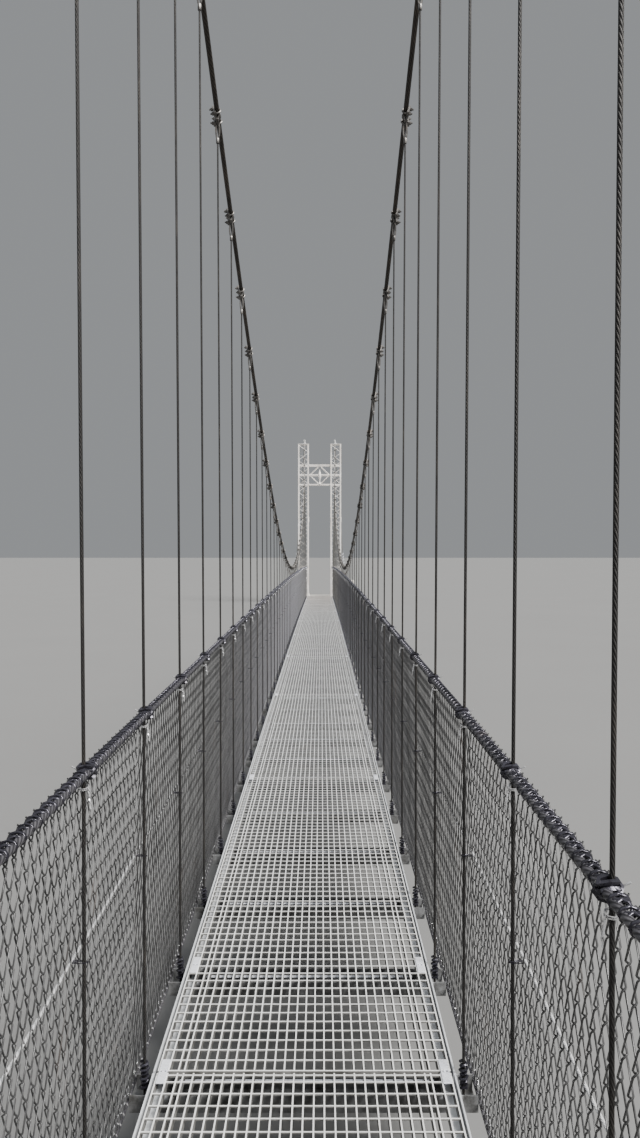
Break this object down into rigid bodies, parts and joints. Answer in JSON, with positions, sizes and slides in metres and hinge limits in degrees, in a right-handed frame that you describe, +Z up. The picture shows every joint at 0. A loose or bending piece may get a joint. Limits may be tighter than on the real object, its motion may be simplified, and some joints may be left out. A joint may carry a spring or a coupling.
{
  "type": "suspension footbridge",
  "caption": "Suspension footbridge: wire ropes over lattice steel masts hang a narrow grating deck with chain-link side fences, held by concrete foundations and anchor blocks.",
  "frame": {"origin": "centre of the overall box on the ground, under the middle of the bridge", "axes": "+Y along the bridge from the near tower to the far one, +X to the right across the deck, +Z up"},
  "size_m": [2.9, 39.6, 7.211],
  "materials": {
    "deck_steel": "weathered hot-dip galvanised bar grating",
    "galvanised": "dull hot-dip galvanised steel",
    "dark_rope": "greased and weathered steel wire rope, nearly black",
    "bright_rope": "bright galvanised wire rope",
    "mesh_wire": "dull zinc-coated chain-link wire",
    "mast_steel": "off-white weathered coating with rust specks",
    "concrete": "board-marked cast concrete, stained"
  },
  "bodies": {
    "root": {"deck_frame_1": "galvanised", "deck_frame_10": "galvanised", "deck_frame_2": "galvanised", "deck_frame_3": "galvanised", "deck_frame_4": "galvanised", "deck_frame_5": "galvanised", "deck_frame_6": "galvanised", "deck_frame_7": "galvanised", "deck_frame_8": "galvanised", "deck_frame_9": "galvanised", "deck_grating_1": "deck_steel", "deck_grating_10": "deck_steel", "deck_grating_2": "deck_steel", "deck_grating_3": "deck_steel", "deck_grating_4": "deck_steel", "deck_grating_5": "deck_steel", "deck_grating_6": "deck_steel", "deck_grating_7": "deck_steel", "deck_grating_8": "deck_steel", "deck_grating_9": "deck_steel", "far_foundation": "concrete", "far_left_anchor_block": "concrete", "far_left_anchor_fitting": "galvanised", "far_left_mast": "mast_steel", "far_left_saddle": "mast_steel", "far_portal_truss": "mast_steel", "far_right_anchor_block": "concrete", "far_right_anchor_fitting": "galvanised", "far_right_mast": "mast_steel", "far_right_saddle": "mast_steel", "left_bottom_rope": "bright_rope", "left_chain_link": "mesh_wire", "left_handrail_rope": "dark_rope", "left_main_rope_and_hangers": "dark_rope", "left_mid_rope": "bright_rope", "near_foundation": "concrete", "near_left_anchor_block": "concrete", "near_left_anchor_fitting": "galvanised", "near_left_mast": "mast_steel", "near_left_saddle": "mast_steel", "near_portal_truss": "mast_steel", "near_right_anchor_block": "concrete", "near_right_anchor_fitting": "galvanised", "near_right_mast": "mast_steel", "near_right_saddle": "mast_steel", "right_bottom_rope": "bright_rope", "right_chain_link": "mesh_wire", "right_handrail_rope": "dark_rope", "right_main_rope_and_hangers": "dark_rope", "right_mid_rope": "bright_rope"}
  },
  "joints": []
}
